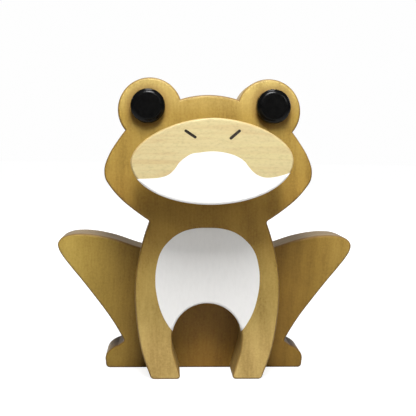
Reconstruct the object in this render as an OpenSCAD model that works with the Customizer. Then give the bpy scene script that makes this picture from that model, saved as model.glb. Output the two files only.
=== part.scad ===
// Eyeglasses display stand in the shape of a sitting frog, sawn from flat boards.
// Spectacles sit with their bridge on the nose spacer, in the gap between muzzle and head.
// Millimetres. X runs across the stand, Y from the front (-) to the back (+), Z up.
// The origin is on the table, under the middle of the stand.

/* [Boards] */
// Thickness of the body board and of the hind-leg board
board_t = 15; // [14:0.5:18]
// Thickness of the muzzle board
muzzle_t = 10; // [9:0.5:12]
// Gap between muzzle and head, where the spectacles hang
nose_gap = 10; // [8:0.5:12]

/* [Head] */
// Height of the forehead at its middle
brow_z = 94.6; // [93.8:0.1:95.2]
// Radius of the forehead's flat curve
brow_r = 31; // [28:1:36]
// Radius of the bump behind each eye
eye_bump_r = 10.5; // [10:0.1:11]
// Distance of each eye bump from the middle
eye_bump_x = 19.4; // [19:0.1:20]
// Height of the middle of the eye bumps
eye_bump_z = 89.5; // [89:0.1:90]

/* [Eyes] */
// Diameter of an eye button
eye_d = 11.2; // [10:0.1:12]
// How far an eye button stands out of the face
eye_t = 3.8; // [3:0.1:4.8]
// Radius of the rounded rim of an eye button
eye_rim = 1.4; // [0.6:0.1:2]
// Distance of the left eye from the middle
left_eye_x = 20.1; // [19:0.1:21]
// Height of the left eye
left_eye_z = 90.7; // [90:0.1:91.5]
// Distance of the right eye from the middle
right_eye_x = 20.7; // [19:0.1:21]
// Height of the right eye
right_eye_z = 91; // [90:0.1:91.5]
// Diameter of the tenon that holds an eye button
eye_tenon_d = 4; // [3:0.5:5]
// Length of that tenon
eye_tenon_l = 6; // [4:0.5:9]

/* [Muzzle] */
// Width of the oval muzzle
muzzle_w = 49.8; // [46:0.1:52]
// Height of the oval muzzle
muzzle_h = 26.4; // [24:0.1:28]
// Fullness of the muzzle's upper half: 2 is half an ellipse, and less slopes more towards the ends
muzzle_crown = 1.8; // [1.7:0.05:2.1]
// Height of the middle of the muzzle
muzzle_z = 73.4; // [72:0.1:75]
// How far the muzzle has turned about its dowel, in degrees
muzzle_tilt = 1.5; // [-5:0.5:5]
// Width of the engraved nostril strokes
nostril_w = 0.9; // [0.6:0.1:1.2]
// Depth of the engraved nostril strokes
nostril_deep = 0.4; // [0.2:0.1:0.8]
// Distance of each nostril's middle from the middle of the muzzle
nostril_x = 6.8; // [5:0.1:9]
// Height of the nostrils above the middle of the muzzle
nostril_rise = 8.2; // [7:0.1:9]
// Length of a nostril stroke
nostril_l = 4.3; // [3:0.1:5]
// Slope of the left nostril stroke, in degrees
left_nostril_slope = 33; // [20:1:50]
// Slope of the right nostril stroke, in degrees
right_nostril_slope = 41; // [20:1:50]

/* [Nose spacer and dowels] */
// Diameter of the nose spacer
spacer_d = 17; // [14:0.5:20]
// Diameter of the dowels
dowel_d = 8; // [6:0.5:8]
// Clearance round a dowel or tenon, filled with glue
glue_gap = 0.05; // [0.03:0.01:0.1]
// How deep the muzzle dowel goes into the head
head_bore_deep = 10; // [6:0.5:12]
// How deep the muzzle dowel goes into the muzzle
muzzle_bore_deep = 7; // [5:0.5:8]
// Distance of each hind dowel from the middle
hind_dowel_x = 12; // [10:0.5:14]
// Height of the hind dowels
hind_dowel_z = 32; // [30:0.5:33]
// How deep a hind dowel goes into each board
hind_bore_deep = 12; // [8:0.5:13]

/* [Forelegs] */
// Radius of the round arch between the forelegs
arch_r = 11.7; // [11:0.1:12.5]
// Height of the middle of that arch
arch_z = 14.1; // [13:0.1:15]
// Radius that eases the outer corner of a forefoot
foot_outer_r = 1.6; // [0.5:0.1:2.5]
// Radius that eases the inner corner of a forefoot
foot_inner_r = 1.1; // [0.9:0.1:1.3]

/* [Hidden] */

// Places of the boards from front to back
total_depth = muzzle_t + nose_gap + 2 * board_t;
muzzle_front_y = -total_depth / 2;
muzzle_back_y = muzzle_front_y + muzzle_t;
head_face_y = muzzle_back_y + nose_gap;
hind_face_y = head_face_y + board_t;

// Finish of the round parts and of the curves
round_fn = 64;
curve_steps = 8;
fillet_steps = 6;
end_room = 0.5;
dowel_chamfer = 0.8;
cut_past = 1;

// Radii of the sawn inner corners and of the hind foot's sole
neck_r = 0.9;
ankle_r = 0.8;
hind_foot_r = 1.4;

// Where the forehead's curve ends and the cheek's begins, both inside the eye bump
brow_end_x = 12;
// Cheek and jaw, from inside the eye bump down to the neck
cheek = [[26.5, 84], [29.5, 80], [32.7, 74.8], [34.2, 70.2], [33.9, 67], [32.3, 64.3], [28.5, 60],
         [25, 57.1], [21, 54.2]];
// Sharp corner where jaw and flank would meet, before the neck radius
neck_corner = [19.3, 53.1];
// Flank and outer side of the foreleg, from the neck down to the foot
flank = [[19.9, 51.5], [22.2, 44], [23.8, 35.5], [24.1, 28.5], [23.5, 20], [21.3, 8], [19.4, 2.6]];
// Corners of the forefoot on the table
foot_outer_x = 18.5;
foot_inner_x = 8.5;
// Inner side of the foreleg, from the arch down to the foot
inner_leg = [[11.6, 13], [11.3, 9.8], [10, 5.3], [9, 2]];

// Top of the hind board, from its middle out to the knee and round the knee's tip
thigh_top = [[0, 39.5], [12, 40.2], [23, 42.6], [33, 45.8], [38, 46.8], [43, 47.2], [47.5, 46.7],
             [50.2, 45.4], [51.2, 43.7], [50.8, 41.5], [49.6, 39.4], [47.2, 36.2]];
// Underside of the thigh, from the knee down to the ankle
thigh_under = [[42.9, 30.9], [37.7, 24.2], [34.2, 19.5], [31.4, 15.3], [29.4, 11.9]];
ankle_corner = [28.1, 9.6];
// Top of the hind foot, from the ankle to the toe
hind_foot_top = [[30.2, 8], [32.2, 7.1], [33.9, 5.6], [34.7, 3.6], [34.6, 2.4]];
toe_corner = [34.4, 0];

function unit(v) = v / norm(v);

// Points on a circle from one angle to another
function arc(middle, r, from, to, steps) =
    [for (k = [0 : steps]) let (a = from + (to - from) * k / steps) middle + r * [cos(a), sin(a)]];

// Round stretch of radius r that replaces corner c, coming from a and going to b
function fillet(a, c, b, r) =
    let (u = unit(a - c),
         v = unit(b - c),
         half = acos(u * v) / 2,
         middle = c + unit(u + v) * r / sin(half),
         p = c + u * r / tan(half) - middle,
         q = c + v * r / tan(half) - middle,
         from = atan2(p.y, p.x),
         turn = (atan2(q.y, q.x) - from + 540) % 360 - 180)
    arc(middle, r, from, from + turn, fillet_steps);

// A smooth curve through points: its heading at each point leans to the nearer neighbour
function slope(p, i) = unit(p[i + 1] - p[i]);
function inner_heading(p, i) =
    let (before = norm(p[i] - p[i - 1]), after = norm(p[i + 1] - p[i]))
    (slope(p, i - 1) * after + slope(p, i) * before) / (before + after);
function heading(p, i) =
    i == 0 ? 2 * slope(p, 0) - inner_heading(p, 1)
    : i == len(p) - 1 ? 2 * slope(p, i - 1) - inner_heading(p, i - 1)
    : inner_heading(p, i);
function between(a, b, u, v, t) =
    a * (1 + 2 * t) * pow(1 - t, 2) + u * t * pow(1 - t, 2)
    + b * (3 - 2 * t) * pow(t, 2) - v * (1 - t) * pow(t, 2);
function smooth(p) =
    [for (i = [0 : len(p) - 2])
        let (reach = norm(p[i + 1] - p[i]))
        for (k = [0 : curve_steps - 1])
            between(p[i], p[i + 1], heading(p, i) * reach, heading(p, i + 1) * reach, k / curve_steps),
     p[len(p) - 1]];

// The right half of an outline, and its mirror image on the left
function both_sides(half) =
    concat(half, [for (i = [len(half) - 1 : -1 : 0]) if (half[i].x > 0) [-half[i].x, half[i].y]]);

brow_end_a = asin(brow_end_x / brow_r);
front_half = concat(
    arc([0, brow_z - brow_r], brow_r, 90, 90 - brow_end_a, curve_steps),
    smooth(cheek),
    fillet(cheek[len(cheek) - 1], neck_corner, flank[0], neck_r),
    smooth(flank),
    fillet(flank[len(flank) - 1], [foot_outer_x, 0], [foot_inner_x, 0], foot_outer_r),
    [[0, 0]]);
leg_gap_half = concat(
    [[0, inner_leg[0].y]],
    smooth(inner_leg),
    fillet(inner_leg[len(inner_leg) - 1], [foot_inner_x, 0], [foot_outer_x, 0], foot_inner_r),
    [[foot_inner_x + foot_inner_r, -cut_past], [0, -cut_past]]);
hind_half = concat(
    smooth(concat(thigh_top, thigh_under)),
    fillet(thigh_under[len(thigh_under) - 1], ankle_corner, hind_foot_top[0], ankle_r),
    smooth(hind_foot_top),
    fillet(hind_foot_top[len(hind_foot_top) - 1], toe_corner, [0, 0], hind_foot_r),
    [[0, 0]]);

// Stands a flat outline up as a board whose front face is at front_y
module board(front_y, thickness) {
    translate([0, front_y + thickness, 0])
        rotate([90, 0, 0])
            linear_extrude(thickness)
                children();
}

// A round hole or a round bar that runs backwards from from_y
module rod(x, z, from_y, length, d) {
    translate([x, from_y, z])
        rotate([-90, 0, 0])
            cylinder(h = length, d = d, $fn = round_fn);
}

// A dowel with chamfered ends that runs backwards from from_y
module dowel(x, z, from_y, length) {
    r = dowel_d / 2;
    c = dowel_chamfer;
    translate([x, from_y, z])
        rotate([-90, 0, 0])
            rotate_extrude($fn = round_fn)
                polygon([[0, 0], [r - c, 0], [r, c], [r, length - c], [r - c, length], [0, length]]);
}

bore_d = dowel_d + 2 * glue_gap;
tenon_bore_d = eye_tenon_d + 2 * glue_gap;
eye_bore_deep = eye_tenon_l + end_room;
left_eye_at = [-left_eye_x, left_eye_z];
right_eye_at = [right_eye_x, right_eye_z];

module front_panel() {
    color("#B08D47")
        difference() {
            union() {
                board(head_face_y, board_t)
                    polygon(both_sides(front_half));
                for (side = [-1, 1])
                    rod(side * eye_bump_x, eye_bump_z, head_face_y, board_t, 2 * eye_bump_r);
            }
            rod(0, arch_z, head_face_y - cut_past, board_t + 2 * cut_past, 2 * arch_r);
            board(head_face_y - cut_past, board_t + 2 * cut_past)
                polygon(both_sides(leg_gap_half));
            for (at = [left_eye_at, right_eye_at])
                rod(at.x, at.y, head_face_y - cut_past, eye_bore_deep + cut_past, tenon_bore_d);
            for (side = [-1, 1])
                rod(side * hind_dowel_x, hind_dowel_z, hind_face_y - hind_bore_deep,
                    hind_bore_deep + cut_past, bore_d);
            rod(0, muzzle_z, head_face_y - cut_past, head_bore_deep + cut_past, bore_d);
        }
}

module hind_leg_panel() {
    color("#A5853F")
        difference() {
            board(hind_face_y, board_t)
                polygon(both_sides(hind_half));
            for (side = [-1, 1])
                rod(side * hind_dowel_x, hind_dowel_z, hind_face_y - cut_past,
                    hind_bore_deep + cut_past, bore_d);
        }
}

// One engraved nostril stroke as a flat outline, a bar with round ends
module nostril_stroke() {
    square([nostril_l - nostril_w, nostril_w], center = true);
    for (end = [-1, 1])
        translate([end * (nostril_l - nostril_w) / 2, 0])
            circle(d = nostril_w, $fn = round_fn / 2);
}

// A point of the muzzle's outline: half an ellipse below, and a curve of its own fullness above
function oval_point(a) =
    let (power = sin(a) > 0 ? 2 / muzzle_crown : 1)
    [sign(cos(a)) * muzzle_w / 2 * pow(abs(cos(a)), power),
     sign(sin(a)) * muzzle_h / 2 * pow(abs(sin(a)), power)];

module muzzle() {
    oval_points = 96;
    oval = [for (k = [0 : oval_points - 1])
        oval_point(360 * k / oval_points)];
    color("#E8D6A0")
        difference() {
            board(muzzle_front_y, muzzle_t)
                translate([0, muzzle_z])
                    rotate(muzzle_tilt)
                        polygon(oval);
            board(muzzle_front_y - cut_past, cut_past + nostril_deep)
                for (side = [-1, 1])
                    translate([side * nostril_x, muzzle_z + nostril_rise])
                        rotate(side < 0 ? -left_nostril_slope : right_nostril_slope)
                            nostril_stroke();
            rod(0, muzzle_z, muzzle_back_y - muzzle_bore_deep, muzzle_bore_deep + cut_past, bore_d);
        }
}

module nose_spacer() {
    color("#C79F55")
        difference() {
            rod(0, muzzle_z, muzzle_back_y, nose_gap, spacer_d);
            rod(0, muzzle_z, muzzle_back_y - cut_past, nose_gap + 2 * cut_past, bore_d);
        }
}

module muzzle_dowel() {
    length = muzzle_bore_deep + nose_gap + head_bore_deep - 2 * end_room;
    color("#DDBB77")
        dowel(0, muzzle_z, muzzle_back_y - muzzle_bore_deep + end_room, length);
}

module hind_dowel(side) {
    color("#DDBB77")
        dowel(side * hind_dowel_x, hind_dowel_z, hind_face_y - hind_bore_deep + end_room,
              2 * (hind_bore_deep - end_room));
}

// An eye button turned in one piece with its tenon, its face at the top of the profile
module eye(at) {
    r = eye_d / 2;
    color("#151515")
        translate([at.x, head_face_y, at.y])
            rotate([90, 0, 0]) {
                rotate_extrude($fn = round_fn) {
                    square([r - eye_rim, eye_t]);
                    square([r, eye_t - eye_rim]);
                    intersection() {
                        translate([r - eye_rim, eye_t - eye_rim])
                            circle(r = eye_rim, $fn = round_fn);
                        square([r, eye_t]);
                    }
                }
                translate([0, 0, -eye_tenon_l])
                    cylinder(h = eye_tenon_l, d = eye_tenon_d, $fn = round_fn);
            }
}

front_panel();
hind_leg_panel();
muzzle();
nose_spacer();
muzzle_dowel();
eye(left_eye_at);  // left_eye
eye(right_eye_at);  // right_eye
hind_dowel(-1);  // hind_dowel_left
hind_dowel(1);  // hind_dowel_right
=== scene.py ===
"""Looks of a frog-shaped wooden display stand for spectacles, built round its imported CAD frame."""
import math

import bmesh
import bpy
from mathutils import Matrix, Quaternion, Vector


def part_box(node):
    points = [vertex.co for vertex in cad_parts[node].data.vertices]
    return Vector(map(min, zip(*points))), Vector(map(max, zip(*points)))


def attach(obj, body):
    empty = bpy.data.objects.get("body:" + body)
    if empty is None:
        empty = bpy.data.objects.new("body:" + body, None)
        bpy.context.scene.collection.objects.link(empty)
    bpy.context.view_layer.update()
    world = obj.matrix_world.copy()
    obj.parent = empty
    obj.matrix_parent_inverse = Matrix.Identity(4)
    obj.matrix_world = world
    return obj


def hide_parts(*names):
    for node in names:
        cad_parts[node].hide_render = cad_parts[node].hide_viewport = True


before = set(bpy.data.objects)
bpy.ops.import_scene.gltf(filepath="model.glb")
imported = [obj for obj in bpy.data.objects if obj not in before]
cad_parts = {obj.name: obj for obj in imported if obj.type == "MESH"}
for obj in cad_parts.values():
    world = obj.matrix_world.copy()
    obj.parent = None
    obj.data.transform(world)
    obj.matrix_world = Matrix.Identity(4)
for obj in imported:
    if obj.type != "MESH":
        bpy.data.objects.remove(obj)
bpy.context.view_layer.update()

MM = 0.001

# ---------------------------------------------------------------- sizes of the making, in millimetres

BODY_EASE = 0.8           # rounding sanded onto the two body boards
MUZZLE_EASE = 0.6         # rounding sanded onto the muzzle board
EASE_STEPS = 4
BORDER = 0.2              # flat border kept between a rounding and the middle of a face

PAINT_PROUD = 0.08        # how far a coat of paint stands off the wood
PAINT_KEY = 0.04          # how far it reaches into the wood, so that no gap shows
BELLY_WRAP = 0.9          # how far behind the body's face the belly's paint may run, over the rounding
CHIN_WRAP = 1.2           # how far behind the muzzle's face the chin's paint runs, over its lower edge
STENCIL_PROUD = 1         # how far a stencil stands out in front of the face
STENCIL_STEPS = 10        # points from one given point of a painted outline to the next

# Bevels turned onto an eye button, the sloping rim first and then the crease where it meets the flat
# front: width, steps, and how round it is, where 0.25 is straight and 0.5 is a quarter circle
EYE_BEVELS = [(1.4, 10, 0.4), (0.25, 3, 0.5)]
EYE_TENON_R = 2.0
EYE_SIDES = 96

MUZZLE_SKIN = 0.6         # the muzzle's face and the floors of its nostrils lie within this depth
NOSTRIL_UP = 21.3         # middle of the burnt nostrils above the muzzle's lowest point
NOSTRIL_TALL = 2.2        # half the height of the strip that holds them
NOSTRIL_OUT = 10          # and half its length
NOSTRIL_DEEP = (0.02, 0.5)

# Right half of the belly patch from its top down to the tip on the arch, X and Z
BELLY_HALF = [(0, 51), (5.8, 50.5), (9.75, 49), (13.1, 46.3), (15.4, 43.2), (16.8, 38.8), (17.3, 33.6),
              (16.7, 28), (15, 22.2), (12.7, 18)]
BELLY_TIP = (11.5, 16.4)
# The patch is closed through the open arch, where there is no wood to paint
BELLY_CLOSE = [(10, 13), (0, 11.5)]

# The painted lip from left to right, X and Z
LIP = [(-22.8, 67.8), (-19, 68.0), (-15.9, 68.3), (-13.5, 69.1), (-11.7, 70.65), (-9.9, 73.1),
       (-8.1, 74.6), (-6.3, 75.6), (-3.9, 76.0), (-0.2, 76.4), (2.8, 76.2), (5.3, 75.7), (7.4, 74.95),
       (9.6, 73.6), (11.1, 71.8), (12.7, 70.1), (14.6, 69.0), (16.4, 68.6), (19.2, 68.8), (21.6, 69.4),
       (24.1, 70.2)]
# The chin's patch is closed below the muzzle, where there is no wood to paint
CHIN_CLOSE = [(28, 71.5), (28, 55), (-28, 55), (-28, 67.4)]

# How faces and points are told apart
MERGE = 0.0005            # points of a mesh closer than this are one point
SAME_PLANE = 0.1          # faces at less than this many degrees to each other are one flat face
FLAT = 0.99               # a face is a flat front or back when its normal has more Y than this
UPRIGHT = 0.01            # and belongs to the sawn outline when it has less than this
WHOLE_EDGE = 0.99         # a side of the outline runs over more of the board's thickness than this
SMOOTH = 35               # edges that turn by less than this many degrees are shaded smooth
EYE_SMOOTH = 40           # and the same on the tighter curves of an eye button


# ---------------------------------------------------------------- bench work

def take_up(piece):
    """Puts everything down and takes up one piece."""
    if bpy.context.object and bpy.context.object.mode != "OBJECT":
        bpy.ops.object.mode_set(mode="OBJECT")
    bpy.ops.object.select_all(action="DESELECT")
    piece.select_set(True)
    bpy.context.view_layer.objects.active = piece


def apply_modifier(piece, kind, **settings):
    """Adds a modifier with its settings and applies it."""
    take_up(piece)
    modifier = piece.modifiers.new(kind.title(), kind)
    for name, value in settings.items():
        setattr(modifier, name, value)
    bpy.ops.object.modifier_apply(modifier=modifier.name)


def copy_of(source, name):
    """A separate object with its own copy of a mesh."""
    piece = bpy.data.objects.new(name, source.data.copy())
    bpy.context.scene.collection.objects.link(piece)
    return piece


def sawn_board(node, name):
    """A board as it comes from the saw: the CAD board's own outline as one mesh with flat faces."""
    board = copy_of(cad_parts[node], name)
    board.data.materials.clear()
    take_up(board)
    bpy.ops.object.mode_set(mode="EDIT")
    bpy.ops.mesh.select_all(action="SELECT")
    bpy.ops.mesh.customdata_custom_splitnormals_clear()
    bpy.ops.mesh.remove_doubles(threshold=MERGE * MM)
    bpy.ops.mesh.dissolve_limited(angle_limit=math.radians(SAME_PLANE))
    bpy.ops.mesh.select_all(action="DESELECT")
    bpy.ops.object.mode_set(mode="OBJECT")
    return board


def set_back_face(board, skin, distance):
    """Moves back every point of a board in front of skin: its face and the floors of its nostrils."""
    take_up(board)
    bpy.ops.object.mode_set(mode="EDIT")
    mesh = bmesh.from_edit_mesh(board.data)
    for vertex in mesh.verts:
        vertex.select = vertex.co.y < skin
    mesh.select_flush(True)
    bmesh.update_edit_mesh(board.data)
    bpy.ops.transform.translate(value=(0, distance, 0))
    bpy.ops.object.mode_set(mode="OBJECT")


def ease_outline(board, front, back, width):
    """Sands a rounding onto the front and back edges of the outline; bores and grooves stay sharp."""
    take_up(board)
    bpy.ops.object.mode_set(mode="EDIT")
    mesh = bmesh.from_edit_mesh(board.data)
    for face in mesh.faces:
        depth = face.calc_center_median().y
        outermost = min(abs(depth - front), abs(depth - back)) < MERGE * MM
        face.select = abs(face.normal.y) > FLAT and outermost
    bmesh.update_edit_mesh(board.data)
    # An even border first, so that the rounding runs along it and not along stray edges of the face
    bpy.ops.mesh.inset(thickness=(width + BORDER) * MM)
    bpy.ops.mesh.select_all(action="DESELECT")
    mesh = bmesh.from_edit_mesh(board.data)
    for edge in mesh.edges:
        flat = [face for face in edge.link_faces if abs(face.normal.y) > FLAT]
        side = [face for face in edge.link_faces if abs(face.normal.y) < UPRIGHT]
        if flat and side:
            depths = [vertex.co.y for vertex in side[0].verts]
            edge.select = max(depths) - min(depths) > WHOLE_EDGE * (back - front)
    bmesh.update_edit_mesh(board.data)
    bpy.ops.mesh.bevel(offset=width * MM, segments=EASE_STEPS, affect="EDGES", clamp_overlap=False)
    bpy.ops.object.mode_set(mode="OBJECT")


def even_shading(piece, angle=SMOOTH):
    """Smooth curves with flat faces kept flat."""
    take_up(piece)
    bpy.ops.object.shade_smooth_by_angle(angle=math.radians(angle))
    apply_modifier(piece, "WEIGHTED_NORMAL", keep_sharp=True, weight=80)


def finish_piece(piece, slot, *nodes):
    """A finished piece rides on the stand and stands for CAD nodes, which it hides; the slot is not used.
    """
    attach(piece, "root")
    if nodes:
        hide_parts(*nodes)


# ---------------------------------------------------------------- boards

front_low, front_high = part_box("front_panel")
hind_low, hind_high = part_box("hind_leg_panel")
muzzle_low, muzzle_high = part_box("muzzle")

body_board = sawn_board("front_panel", "body_board")
ease_outline(body_board, front_low.y, front_high.y, BODY_EASE)
even_shading(body_board)

hind_board = sawn_board("hind_leg_panel", "hind_board")
ease_outline(hind_board, hind_low.y, hind_high.y, BODY_EASE)
even_shading(hind_board)

# The muzzle's face is set back by the coat of paint on its chin, which then ends at the real front
muzzle_board = sawn_board("muzzle", "muzzle_board")
set_back_face(muzzle_board, muzzle_low.y + MUZZLE_SKIN * MM, PAINT_PROUD * MM)
muzzle_face = muzzle_low.y + PAINT_PROUD * MM
ease_outline(muzzle_board, muzzle_face, muzzle_high.y, MUZZLE_EASE)
even_shading(muzzle_board)


# ---------------------------------------------------------------- eye buttons

def eye_button(node, name):
    """A button turned from a bar: a disc with a sloping rim in front and a tenon behind."""
    low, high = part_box(node)
    middle = (low + high) / 2
    radius = (high.x - low.x) / 2
    disc = front_low.y - low.y
    bpy.ops.object.select_all(action="DESELECT")
    bpy.ops.mesh.primitive_cylinder_add(
        vertices=EYE_SIDES, radius=radius, depth=disc, rotation=(math.pi / 2, 0, 0),
        location=(middle.x, low.y + disc / 2, middle.z))
    button = bpy.context.object
    button.name = name
    bpy.ops.object.transform_apply(location=True, rotation=True, scale=True)
    bpy.ops.object.mode_set(mode="EDIT")
    bpy.ops.mesh.select_all(action="DESELECT")
    mesh = bmesh.from_edit_mesh(button.data)
    for face in mesh.faces:
        face.select = face.normal.y > FLAT
    bmesh.update_edit_mesh(button.data)
    bpy.ops.mesh.inset(thickness=radius - EYE_TENON_R * MM)
    tenon = (0, high.y - front_low.y, 0)
    bpy.ops.mesh.extrude_region_move(TRANSFORM_OT_translate={"value": tenon})
    for width, steps, roundness in EYE_BEVELS:
        bpy.ops.mesh.select_all(action="DESELECT")
        mesh = bmesh.from_edit_mesh(button.data)
        for edge in mesh.edges:
            edge.select = all(vertex.co.y < low.y + MERGE * MM for vertex in edge.verts)
        bmesh.update_edit_mesh(button.data)
        bpy.ops.mesh.bevel(offset=width * MM, segments=steps, profile=roundness, affect="EDGES",
                           clamp_overlap=False)
    bpy.ops.object.mode_set(mode="OBJECT")
    even_shading(button, EYE_SMOOTH)
    return button


eye_left = eye_button("left_eye", "eye_button_left")
eye_right = eye_button("right_eye", "eye_button_right")


# ---------------------------------------------------------------- coats of paint

def stencil(name, points, corners, near, far):
    """A block cut to a painted outline, from near to far in Y, sharp at the points in corners."""
    curve = bpy.data.curves.new(name, "CURVE")
    curve.dimensions = "2D"
    curve.fill_mode = "BOTH"
    curve.extrude = (far - near) / 2
    curve.resolution_u = STENCIL_STEPS
    line = curve.splines.new("BEZIER")
    line.bezier_points.add(len(points) - 1)
    line.use_cyclic_u = True
    for number, (x, z) in enumerate(points):
        point = line.bezier_points[number]
        point.co = (x * MM, z * MM, 0)
        kind = "VECTOR" if number in corners else "AUTO"
        point.handle_left_type = kind
        point.handle_right_type = kind
    block = bpy.data.objects.new(name, curve)
    bpy.context.scene.collection.objects.link(block)
    take_up(block)
    bpy.ops.object.convert(target="MESH")
    block = bpy.context.object
    block.rotation_euler = (math.pi / 2, 0, 0)
    block.location = (0, (near + far) / 2, 0)
    bpy.ops.object.transform_apply(location=True, rotation=True, scale=True)
    bpy.ops.object.mode_set(mode="EDIT")
    bpy.ops.mesh.select_all(action="SELECT")
    bpy.ops.mesh.remove_doubles(threshold=MERGE * MM)
    bpy.ops.mesh.normals_make_consistent(inside=False)
    bpy.ops.object.mode_set(mode="OBJECT")
    return block


def coat_of_paint(board, name, block):
    """A thin closed film over the part of a finished board that a stencil leaves open."""
    film = copy_of(board, name)
    film.data.materials.clear()
    film.data.materials.append(bpy.data.materials.new(name + "_wood"))
    block.data.materials.append(bpy.data.materials.new(name + "_mask"))
    apply_modifier(film, "BOOLEAN", operation="INTERSECT", solver="EXACT", object=block,
                   material_mode="TRANSFER")
    masks = [n for n, m in enumerate(film.data.materials) if m and m.name == name + "_mask"]
    take_up(film)
    bpy.ops.object.mode_set(mode="EDIT")
    bpy.ops.mesh.select_all(action="DESELECT")
    mesh = bmesh.from_edit_mesh(film.data)
    for face in mesh.faces:
        face.select = face.material_index in masks
    bmesh.update_edit_mesh(film.data)
    bpy.ops.mesh.delete(type="FACE")
    bpy.ops.mesh.select_all(action="SELECT")
    bpy.ops.mesh.remove_doubles(threshold=MERGE * MM)
    bpy.ops.object.mode_set(mode="OBJECT")
    film.data.materials.clear()
    thick = PAINT_PROUD + PAINT_KEY
    apply_modifier(film, "SOLIDIFY", thickness=thick * MM, offset=2 * PAINT_PROUD / thick - 1,
                   use_even_offset=True)
    even_shading(film)
    bpy.data.objects.remove(block)
    return film


belly_right = BELLY_HALF + [BELLY_TIP] + BELLY_CLOSE
belly_left = [(-x, z) for x, z in reversed(belly_right) if x > 0]
belly = belly_right + belly_left
# The outline is sharp from one tip through the arch to the other
right_tip = len(BELLY_HALF)
left_tip = len(belly) - right_tip
belly_stencil = stencil("belly_stencil", belly, range(right_tip, left_tip + 1),
                        front_low.y - STENCIL_PROUD * MM, front_low.y + BELLY_WRAP * MM)
belly_paint = coat_of_paint(body_board, "belly_paint", belly_stencil)

chin = LIP + CHIN_CLOSE
chin_stencil = stencil("chin_stencil", chin, range(len(LIP), len(chin)),
                       muzzle_face - STENCIL_PROUD * MM, muzzle_face + CHIN_WRAP * MM)
chin_paint = coat_of_paint(muzzle_board, "chin_paint", chin_stencil)

# ---------------------------------------------------------------- finishes

UNDER, OVER, MIXED = 6, 7, 2          # the colour sockets of a Mix node

# Colour by place in millimetres. On the body, by height: paler at the feet; darker and browner on the
# cheeks and the neck, which is painted shade; paler at the crown, which is painted light from the lamp
# above. Across the hind legs: paler towards the knees and darker towards the middle, which is painted shade
# behind the body board and in the arch
BODY_TONES_AND_SHADE = [(0, "#CEB16E"), (10, "#CCAF6C"), (22, "#B49A57"), (36, "#B79B53"), (48, "#AB883D"),
              (58, "#A98539"), (72, "#A98B41"), (88, "#AE9145"), (96, "#C8AE66"), (100, "#CFB870")]
LEG_TONES_AND_SHADE = [(-52, "#B99E50"), (-46, "#B69C4D"), (-36, "#A0853C"), (-26, "#9C7D36"), (0, "#A27A33"),
             (26, "#94712C"), (38, "#967731"), (46, "#A68840"), (52, "#A88A42")]
# End grain drinks the stain and dries grey; low down on the hind feet it is darker, which is painted shade
# under the thighs
BODY_ENDS = [(0, "#9A8E77"), (100, "#9A8E77")]
LEG_ENDS_AND_SHADE = [(16, "#40392C"), (40, "#A1957E")]
EYE_SHADOW_WIDTH = 2.0                # width of the painted shadow round an eye button


def linear(colour):
    """A linear colour from an sRGB hex value."""
    parts = [int(colour[n:n + 2], 16) / 255 for n in (1, 3, 5)]
    return [p / 12.92 if p <= 0.04045 else ((p + 0.055) / 1.055) ** 2.4 for p in parts] + [1.0]


def add_node(tree, kind, inputs=None, stops=(), **settings):
    """Adds a node with its settings, its ramp stops and its inputs: values, or outputs to link."""
    node = tree.nodes.new(kind)
    for name, value in settings.items():
        setattr(node, name, value)
    for number, (place, value) in enumerate(stops):
        spots = node.color_ramp.elements
        spot = spots[number] if number < 2 else spots.new(place)
        spot.position = place
        spot.color = linear(value) if isinstance(value, str) else (value, value, value, 1)
    for name, value in (inputs or {}).items():
        if isinstance(value, bpy.types.NodeSocket):
            tree.links.new(value, node.inputs[name])
        else:
            node.inputs[name].default_value = value
    return node


def per(size):
    """The scale that gives a pattern features of this size in millimetres."""
    return 1 / (size * MM)


def new_material(name, **values):
    """A material with its tree, its shader with the values that never vary, and its coordinates."""
    material = bpy.data.materials.new(name)
    material.use_nodes = True
    tree = material.node_tree
    shader = tree.nodes["Principled BSDF"]
    for socket, value in values.items():
        shader.inputs[socket.replace("_", " ")].default_value = value
    return material, tree, shader, add_node(tree, "ShaderNodeTexCoord").outputs


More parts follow.
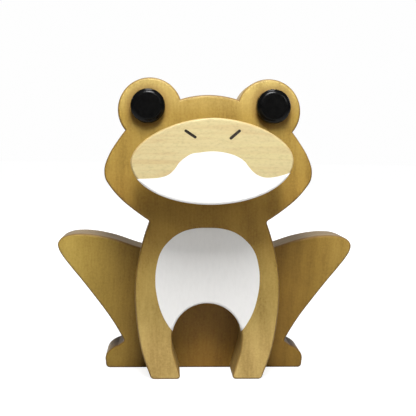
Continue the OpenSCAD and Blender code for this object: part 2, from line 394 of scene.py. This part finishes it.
def linden_figure(tree, log, rings_share):
    """Linden's figure as a shade over the stain, with its fibres and the cloudy take of the stain."""
    # Linden has hardly any figure: soft rings 3.4 mm apart, short fibres, and long faint streaks that
    # lean a little across them. Its real fibres are 0.1 mm wide and are drawn 0.7 mm wide, to show.
    # A ring pattern of scale 1 repeats every pi / 10 of a metre.
    along = add_node(tree, "ShaderNodeMapping", {"Vector": log, "Scale": (1, 1, 0.1)})
    rings = add_node(tree, "ShaderNodeTexWave",
                     {"Vector": along.outputs["Vector"], "Scale": per(3.4) * math.pi / 10,
                      "Distortion": 4, "Detail": 2, "Detail Scale": 0.5, "Detail Roughness": 0.5},
                     wave_type="RINGS", rings_direction="Z")
    fibre = add_node(tree, "ShaderNodeTexNoise",
                     {"Vector": along.outputs["Vector"], "Scale": per(0.7), "Detail": 3,
                      "Roughness": 0.6})
    speck = add_node(tree, "ShaderNodeTexNoise",
                     {"Vector": log, "Scale": per(0.7), "Detail": 2, "Roughness": 0.6})
    cloud = add_node(tree, "ShaderNodeTexNoise",
                     {"Vector": log, "Scale": per(13), "Detail": 3, "Roughness": 0.6})
    slant = add_node(tree, "ShaderNodeMapping",
                     {"Vector": log, "Rotation": (0, 0.3, 0), "Scale": (1, 1, 0.09)})
    streak = add_node(tree, "ShaderNodeTexNoise",
                      {"Vector": slant.outputs["Vector"], "Scale": per(1.5), "Detail": 2,
                       "Roughness": 0.55})
    layers = ((rings, rings_share), (fibre, 0.26), (speck, 0.32), (cloud, 0.28), (streak, 0.14))
    tone = 0.5 - sum(share for layer, share in layers) / 2
    for layer, share in layers:
        tone = add_node(tree, "ShaderNodeMath", {0: layer.outputs["Fac"], 1: share, 2: tone},
                        operation="MULTIPLY_ADD").outputs[0]
    shade = add_node(tree, "ShaderNodeValToRGB", {"Fac": tone},
                     [(0.25, "#B7AC97"), (0.5, "#E3DFD6"), (0.75, "#FFFFFF")])
    return shade.outputs["Color"], fibre.outputs["Fac"], cloud.outputs["Fac"]


def stain_and_shade_along(tree, position, tones):
    """A colour that changes along one axis of a board: the stain, with the painted light and shade in its
    tones.
    """
    first, last = tones[0][0], tones[-1][0]
    reach = add_node(tree, "ShaderNodeMapRange",
                     {"Value": position, "From Min": first * MM, "From Max": last * MM})
    stops = [((at - first) / (last - first), tint) for at, tint in tones]
    return add_node(tree, "ShaderNodeValToRGB", {"Fac": reach.outputs["Result"]}, stops).outputs["Color"]


def stained_linden(name, axis, tones, end_tones, rings_share, shift, lean, buttons=()):
    """Linden board, sanded, brushed with water stain and waxed: golden brown, clouded, low sheen, painted
    light and shade.
    """
    # Shift and lean place the board in its log, whose rings run round its Z axis
    material, tree, shader, place = new_material(name, IOR=1.5, Specular_IOR_Level=0.25)
    log = add_node(tree, "ShaderNodeMapping",
                   {"Vector": place["Object"], "Location": shift, "Rotation": lean})
    shade, fibre, cloud = linden_figure(tree, log.outputs["Vector"], rings_share)
    # The colour changes along one axis of the board as the tones give it, with painted light and shade in
    # them. End grain, on the edges that look up or down, takes a colour of its own.
    where = add_node(tree, "ShaderNodeSeparateXYZ", {"Vector": place["Object"]})
    face_stain_and_shade = stain_and_shade_along(tree, where.outputs[axis], tones)
    end_stain_and_shade = stain_and_shade_along(tree, where.outputs["Z"], end_tones)
    facing = add_node(tree, "ShaderNodeSeparateXYZ", {"Vector": place["Normal"]})
    upright = add_node(tree, "ShaderNodeMath", {0: facing.outputs["Z"]}, operation="ABSOLUTE")
    end_grain = add_node(tree, "ShaderNodeValToRGB", {"Fac": upright.outputs[0]},
                         [(0.6, 0.0), (0.92, 1.0)]).outputs["Color"]
    colour = add_node(tree, "ShaderNodeMix", {0: end_grain, UNDER: face_stain_and_shade, OVER: end_stain_and_shade},
                      data_type="RGBA").outputs[MIXED]
    colour = add_node(tree, "ShaderNodeMix", {0: 1.0, UNDER: colour, OVER: shade},
                      data_type="RGBA", blend_type="MULTIPLY").outputs[MIXED]
    # The sawn sides are darker and the rounding darkest: partly the stain they soak up, partly painted
    # shade where they turn from the light, as inside the arch. Round each eye button lies a painted shadow
    flat = add_node(tree, "ShaderNodeMath", {0: facing.outputs["Y"]}, operation="ABSOLUTE")
    eased = add_node(tree, "ShaderNodeValToRGB", {"Fac": flat.outputs[0]},
                     [(0.0, 0.3), (0.3, 0.6), (0.8, 0.6), (0.97, 0.0)]).outputs["Color"]
    colour = add_node(tree, "ShaderNodeMix", {0: eased, UNDER: colour, OVER: linear("#704E1E")},
                      data_type="RGBA").outputs[MIXED]
    # A dark warm ring round each eye button: painted shadow of the button on the board
    for middle, radius in buttons:
        away = add_node(tree, "ShaderNodeVectorMath", {0: place["Object"], 1: middle},
                        operation="DISTANCE")
        eye_shadow = add_node(tree, "ShaderNodeValToRGB", {"Fac": away.outputs["Value"]},
                          [(radius, 0.75), (radius + EYE_SHADOW_WIDTH * MM, 0.0)]).outputs["Color"]
        colour = add_node(tree, "ShaderNodeMix", {0: eye_shadow, UNDER: colour, OVER: linear("#6A3A12")},
                          data_type="RGBA").outputs[MIXED]
    tree.links.new(colour, shader.inputs["Base Color"])
    # The wax lies cloudy and gives a soft shine, but sinks into end grain and leaves it dull
    gloss = add_node(tree, "ShaderNodeMapRange",
                     {"Value": cloud, "From Min": 0.3, "From Max": 0.7, "To Min": 0.44,
                      "To Max": 0.54})
    dull = add_node(tree, "ShaderNodeMath", {0: end_grain, 1: 0.35, 2: gloss.outputs["Result"]},
                    operation="MULTIPLY_ADD")
    tree.links.new(dull.outputs[0], shader.inputs["Roughness"])
    bump = add_node(tree, "ShaderNodeBump", {"Height": fibre, "Strength": 0.2, "Distance": 0.05 * MM})
    tree.links.new(bump.outputs["Normal"], shader.inputs["Normal"])
    return material


def pale_linden(name):
    """Linden with its grain across, unstained under clear satin varnish: creamy with pinkish veins."""
    material, tree, shader, place = new_material(name, IOR=1.5, Roughness=0.46,
                                                 Specular_IOR_Level=0.4)
    along = add_node(tree, "ShaderNodeMapping",
                     {"Vector": place["Object"], "Scale": (0.06, 1, 1), "Rotation": (0, 0.05, 0)})
    band = add_node(tree, "ShaderNodeTexNoise",
                    {"Vector": along.outputs["Vector"], "Scale": per(2.0), "Detail": 3,
                     "Roughness": 0.5, "Distortion": 0.4})
    vein = add_node(tree, "ShaderNodeTexNoise",
                    {"Vector": along.outputs["Vector"], "Scale": per(4.5), "Detail": 2,
                     "Roughness": 0.6, "Distortion": 0.8})
    # The short pores are under 0.1 mm wide and are drawn 0.55 mm wide, to show as a fine fleck
    short = add_node(tree, "ShaderNodeMapping", {"Vector": place["Object"], "Scale": (0.5, 1, 1)})
    fleck = add_node(tree, "ShaderNodeTexNoise",
                     {"Vector": short.outputs["Vector"], "Scale": per(0.55), "Detail": 2,
                      "Roughness": 0.6})
    colour = add_node(tree, "ShaderNodeValToRGB", {"Fac": band.outputs["Fac"]},
                      [(0.3, "#BCA97A"), (0.5, "#BFB082"), (0.68, "#C1B382")]).outputs["Color"]
    line = add_node(tree, "ShaderNodeValToRGB", {"Fac": vein.outputs["Fac"]},
                    [(0.45, 0.0), (0.49, 0.24), (0.51, 0.24), (0.55, 0.0)]).outputs["Color"]
    colour = add_node(tree, "ShaderNodeMix", {0: line, UNDER: colour, OVER: linear("#B1926A")},
                      data_type="RGBA").outputs[MIXED]
    pores = add_node(tree, "ShaderNodeValToRGB", {"Fac": fleck.outputs["Fac"]},
                     [(0.25, 0.84), (0.5, 0.985), (0.75, 1.03)]).outputs["Color"]
    colour = add_node(tree, "ShaderNodeMix", {0: 1.0, UNDER: colour, OVER: pores},
                      data_type="RGBA", blend_type="MULTIPLY").outputs[MIXED]
    # Varnish gathers golden on the sanded rounding
    facing = add_node(tree, "ShaderNodeSeparateXYZ", {"Vector": place["Normal"]})
    flat = add_node(tree, "ShaderNodeMath", {0: facing.outputs["Y"]}, operation="ABSOLUTE")
    eased = add_node(tree, "ShaderNodeValToRGB", {"Fac": flat.outputs[0]},
                     [(0.05, 0.0), (0.3, 0.65), (0.7, 0.65), (0.97, 0.0)]).outputs["Color"]
    colour = add_node(tree, "ShaderNodeMix", {0: eased, UNDER: colour, OVER: linear("#B08E46")},
                      data_type="RGBA").outputs[MIXED]
    tree.links.new(colour, shader.inputs["Base Color"])
    bump = add_node(tree, "ShaderNodeBump",
                    {"Height": fleck.outputs["Fac"], "Strength": 0.15, "Distance": 0.04 * MM})
    tree.links.new(bump.outputs["Normal"], shader.inputs["Normal"])
    return material


def white_paint(name):
    """White acrylic paint, brushed down the grain: matt, clean, with the brush just showing."""
    material, tree, shader, place = new_material(name, IOR=1.48, Roughness=0.5)
    along = add_node(tree, "ShaderNodeMapping", {"Vector": place["Object"], "Scale": (1, 1, 0.35)})
    # A hair of the brush leaves a line of 0.2 mm, drawn 0.9 mm wide so that it shows
    brush = add_node(tree, "ShaderNodeTexNoise",
                     {"Vector": along.outputs["Vector"], "Scale": per(0.9), "Detail": 3,
                      "Roughness": 0.6})
    colour = add_node(tree, "ShaderNodeValToRGB", {"Fac": brush.outputs["Fac"]},
                      [(0.3, "#E4E3E1"), (0.6, "#E7E6E4")])
    tree.links.new(colour.outputs["Color"], shader.inputs["Base Color"])
    bump = add_node(tree, "ShaderNodeBump",
                    {"Height": brush.outputs["Fac"], "Strength": 0.1, "Distance": 0.03 * MM})
    tree.links.new(bump.outputs["Normal"], shader.inputs["Normal"])
    return material


def black_lacquer(name):
    """Black lacquer on turned wood: nearly black, with a soft shine and fine wear."""
    material, tree, shader, place = new_material(name, IOR=1.5, Specular_IOR_Level=0.2)
    wear = add_node(tree, "ShaderNodeTexNoise",
                    {"Vector": place["Object"], "Scale": per(1.5), "Detail": 6, "Roughness": 0.7})
    colour = add_node(tree, "ShaderNodeValToRGB", {"Fac": wear.outputs["Fac"]},
                      [(0.3, "#070707"), (0.8, "#0E0E0E")])
    tree.links.new(colour.outputs["Color"], shader.inputs["Base Color"])
    gloss = add_node(tree, "ShaderNodeMapRange",
                     {"Value": wear.outputs["Fac"], "From Min": 0.3, "From Max": 0.7, "To Min": 0.16,
                      "To Max": 0.26})
    tree.links.new(gloss.outputs["Result"], shader.inputs["Roughness"])
    return material


def burnt_groove(name):
    """Wood scorched by a hot pen: dark brown soot with no shine."""
    material, tree, shader, place = new_material(name, Roughness=0.8)
    soot = add_node(tree, "ShaderNodeTexNoise",
                    {"Vector": place["Object"], "Scale": per(0.5), "Detail": 3})
    colour = add_node(tree, "ShaderNodeValToRGB", {"Fac": soot.outputs["Fac"]},
                      [(0.3, "#211A14"), (0.7, "#3C3128")])
    tree.links.new(colour.outputs["Color"], shader.inputs["Base Color"])
    return material


def raw_birch(name, pale, deep):
    """Bare birch rod with its grain along it: light, dry and finely streaked."""
    material, tree, shader, place = new_material(name, Roughness=0.6)
    along = add_node(tree, "ShaderNodeMapping", {"Vector": place["Object"], "Scale": (1, 0.08, 1)})
    # Birch's fibres are as fine as linden's, and are drawn as wide
    fibre = add_node(tree, "ShaderNodeTexNoise",
                     {"Vector": along.outputs["Vector"], "Scale": per(0.7), "Detail": 3,
                      "Roughness": 0.6})
    colour = add_node(tree, "ShaderNodeValToRGB", {"Fac": fibre.outputs["Fac"]},
                      [(0.3, deep), (0.7, pale)])
    tree.links.new(colour.outputs["Color"], shader.inputs["Base Color"])
    bump = add_node(tree, "ShaderNodeBump",
                    {"Height": fibre.outputs["Fac"], "Strength": 0.3, "Distance": 0.05 * MM})
    tree.links.new(bump.outputs["Normal"], shader.inputs["Normal"])
    return material


def button_foot(node):
    """The middle of an eye button where it meets the board, and its radius."""
    low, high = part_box(node)
    middle = Vector(((low.x + high.x) / 2, front_low.y, (low.z + high.z) / 2))
    return middle, (high.x - low.x) / 2


def scorch_nostrils(board, number):
    """Gives the walls and floors of the nostrils the material of this number."""
    for face in board.data.polygons:
        deep = (face.center.y - muzzle_face) / MM
        up = (face.center.z - muzzle_low.z) / MM
        in_strip = abs(face.center.x) < NOSTRIL_OUT * MM and abs(up - NOSTRIL_UP) < NOSTRIL_TALL
        if in_strip and NOSTRIL_DEEP[0] < deep < NOSTRIL_DEEP[1]:
            face.material_index = number


# The tones along the body and the legs hold painted light and shade
body_wood = stained_linden("stained_linden_body", "Z", BODY_TONES_AND_SHADE, BODY_ENDS, rings_share=0.14,
                           shift=(0.006, -0.045, 0.03), lean=(0.06, 0.02, 0),
                           buttons=[button_foot("left_eye"), button_foot("right_eye")])
leg_wood = stained_linden("stained_linden_legs", "X", LEG_TONES_AND_SHADE, LEG_ENDS_AND_SHADE, rings_share=0.06,
                          shift=(0.02, -0.08, 0.12), lean=(-0.05, -0.04, 0))
muzzle_wood = pale_linden("varnished_linden_muzzle")
paint = white_paint("white_acrylic_paint")
lacquer = black_lacquer("black_lacquer")
scorched = burnt_groove("scorched_groove")
birch = raw_birch("raw_birch", "#E2C88F", "#CFAE70")
turned_spacer = raw_birch("turned_birch", "#C9A765", "#B48E4C")

body_board.data.materials.append(body_wood)
hind_board.data.materials.append(leg_wood)
muzzle_board.data.materials.append(muzzle_wood)
muzzle_board.data.materials.append(scorched)
scorch_nostrils(muzzle_board, 1)
for film in (belly_paint, chin_paint):
    film.data.materials.append(paint)
for button in (eye_left, eye_right):
    button.data.materials.clear()
    button.data.materials.append(lacquer)
for node, wood in (("nose_spacer", turned_spacer), ("muzzle_dowel", birch),
                   ("hind_dowel_left", birch), ("hind_dowel_right", birch)):
    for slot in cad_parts[node].material_slots:
        slot.material = wood

finish_piece(body_board, "body_wood", "front_panel")
finish_piece(hind_board, "leg_wood", "hind_leg_panel")
finish_piece(muzzle_board, "pale_wood", "muzzle")
finish_piece(belly_paint, "white_paint")
finish_piece(chin_paint, "white_paint")
finish_piece(eye_left, "eye_black", "left_eye")
finish_piece(eye_right, "eye_black", "right_eye")

# ---------------------------------------------------------------- stage, light and camera

FLOOR_R = 3               # metres
FLOOR_SIDES = 96
MIDDLE = Vector((0, 0, 0.05))

# Each lamp's turn round the stand from the front (to the right is positive) and its rise in degrees,
# its distance, width and height in metres, and its power in watts
LAMPS = {
    "key": (0, 53, 0.25, 0.09, 0.13, 0.83),
    "high_front": (0, 60, 0.6, 0.14, 0.14, 0.33),
    "low_front": (0, 30, 0.6, 0.14, 0.14, 0.27),
    "right_front": (30, 20, 0.6, 0.14, 0.14, 0.37),
    "back_left": (-140, 15, 0.7, 0.3, 0.3, 1.3),
    "back_right": (140, 15, 0.7, 0.3, 0.3, 1.3),
    "overhead": (180, 75, 0.6, 0.2, 0.2, 0.9),
    "backdrop": (180, 14, 1.2, 1.6, 0.5, 3),
}

WALL_SEEN = 0.99          # brightness of the wall behind
ROOM_LIGHT = 0.03         # and of the light that the room gives back

CAMERA_AT = (-0.01489, -0.2796, 0.079)
CAMERA_DOWN = 4.45        # degrees that it looks down, right, and is rolled
CAMERA_RIGHT = 3.07
CAMERA_ROLL = 0.68
LENS = 72.48              # focal length, and the sensor's width, in millimetres
SENSOR = 36


def lit_table(name):
    """White table under bright light: it looks white, and only just greyer round the feet."""
    # What is seen of the table is nearly burnt out, but the stand gets only a grey table's light from it
    material, tree, shader, place = new_material(name, Base_Color=linear("#CFCFCF"), Roughness=0.9,
                                                 Specular_IOR_Level=0.1)
    distance = add_node(tree, "ShaderNodeVectorMath", {0: place["Object"]}, operation="LENGTH")
    glow = add_node(tree, "ShaderNodeValToRGB", {"Fac": distance.outputs["Value"]},
                    [(0.03, 0.87), (0.35, 0.99)])
    lit = add_node(tree, "ShaderNodeEmission", {"Color": glow.outputs["Color"], "Strength": 1.0})
    paper = add_node(tree, "ShaderNodeBsdfDiffuse", {"Color": (0.35, 0.35, 0.35, 1)})
    seen = add_node(tree, "ShaderNodeAddShader", {0: lit.outputs[0], 1: paper.outputs[0]})
    path = add_node(tree, "ShaderNodeLightPath")
    either = add_node(tree, "ShaderNodeMixShader",
                      {0: path.outputs["Is Camera Ray"], 1: shader.outputs[0], 2: seen.outputs[0]})
    tree.links.new(either.outputs[0], tree.nodes["Material Output"].inputs["Surface"])
    return material


def softbox(name, turn, rise, far, wide, high, power):
    """A soft rectangular lamp that looks at the middle of the stand."""
    turn, rise = math.radians(turn), math.radians(rise)
    away = Vector((math.sin(turn) * math.cos(rise), -math.cos(turn) * math.cos(rise), math.sin(rise)))
    light = bpy.data.lights.new(name, "AREA")
    light.shape = "RECTANGLE"
    light.size = wide
    light.size_y = high
    light.energy = power
    lamp = bpy.data.objects.new(name, light)
    lamp.location = MIDDLE + away * far
    lamp.rotation_euler = (-away).to_track_quat("-Z", "Y").to_euler()
    lamp.visible_camera = False
    bpy.context.scene.collection.objects.link(lamp)


def white_studio(name):
    """A room whose wall looks nearly white and gives little light back."""
    world = bpy.data.worlds.new(name)
    world.use_nodes = True
    tree = world.node_tree
    tree.nodes.clear()
    path = add_node(tree, "ShaderNodeLightPath")
    seen = add_node(tree, "ShaderNodeBackground", {"Color": (1, 1, 1, 1), "Strength": WALL_SEEN})
    room = add_node(tree, "ShaderNodeBackground", {"Color": (1, 1, 1, 1), "Strength": ROOM_LIGHT})
    either = add_node(tree, "ShaderNodeMixShader",
                      {0: path.outputs["Is Camera Ray"], 1: room.outputs[0], 2: seen.outputs[0]})
    add_node(tree, "ShaderNodeOutputWorld", {"Surface": either.outputs[0]})
    return world


bpy.ops.object.select_all(action="DESELECT")
bpy.ops.mesh.primitive_circle_add(vertices=FLOOR_SIDES, radius=FLOOR_R, fill_type="NGON")
floor = bpy.context.object
floor.name = "floor"
floor.data.materials.append(lit_table("lit_white_table"))

for name, lamp in LAMPS.items():
    softbox(name, *lamp)
bpy.context.scene.world = white_studio("studio")

lens = bpy.data.cameras.new("camera")
lens.lens = LENS
lens.sensor_width = SENSOR
lens.clip_start = 0.01
camera = bpy.data.objects.new("camera", lens)
bpy.context.scene.collection.objects.link(camera)
camera.location = CAMERA_AT
down, right = math.radians(CAMERA_DOWN), math.radians(CAMERA_RIGHT)
forward = Vector((math.cos(down) * math.sin(right), math.cos(down) * math.cos(right), -math.sin(down)))
roll = Quaternion((0, 0, 1), math.radians(CAMERA_ROLL))
camera.rotation_mode = "QUATERNION"
camera.rotation_quaternion = forward.to_track_quat("-Z", "Y") @ roll
bpy.context.scene.camera = camera
bpy.context.scene.view_settings.view_transform = "Standard"
